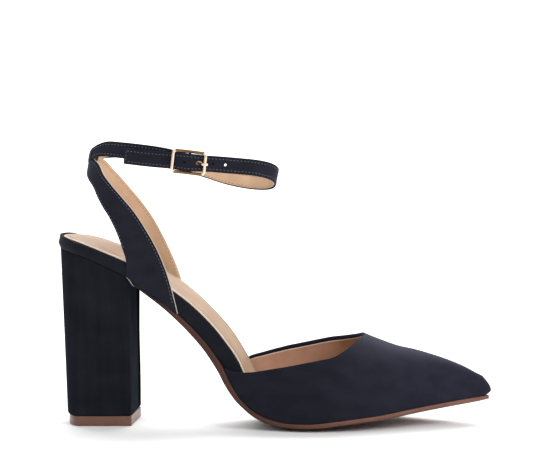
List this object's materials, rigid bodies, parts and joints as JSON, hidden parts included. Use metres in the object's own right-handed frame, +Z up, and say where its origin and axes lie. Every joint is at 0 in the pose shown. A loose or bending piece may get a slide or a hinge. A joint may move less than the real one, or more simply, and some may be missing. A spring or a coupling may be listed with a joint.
{
  "type": "block heel pump",
  "caption": "Right shoe: pointed closed-toe pump on a tall block heel, open at the waist, with sling legs and a buckled ankle strap.",
  "frame": {"origin": "on the floor, under the middle of the shoe's length and width", "axes": "+X to the toe, +Y to the inner side of the foot, +Z up"},
  "size_m": [0.2335, 0.0776, 0.1542],
  "materials": {
    "upper": "dark navy suede-like microfibre",
    "insole": "smooth tan lining leather",
    "outsole": "matt brown",
    "top_piece": "matt brown",
    "buckle": "polished pale gold"
  },
  "bodies": {
    "root": {"top_piece": "top_piece", "heel": "upper", "outsole": "outsole", "insole_board": "upper", "insole": "insole", "vamp": "upper", "straps": "upper", "buckle": "buckle", "prong": "buckle"}
  },
  "joints": []
}
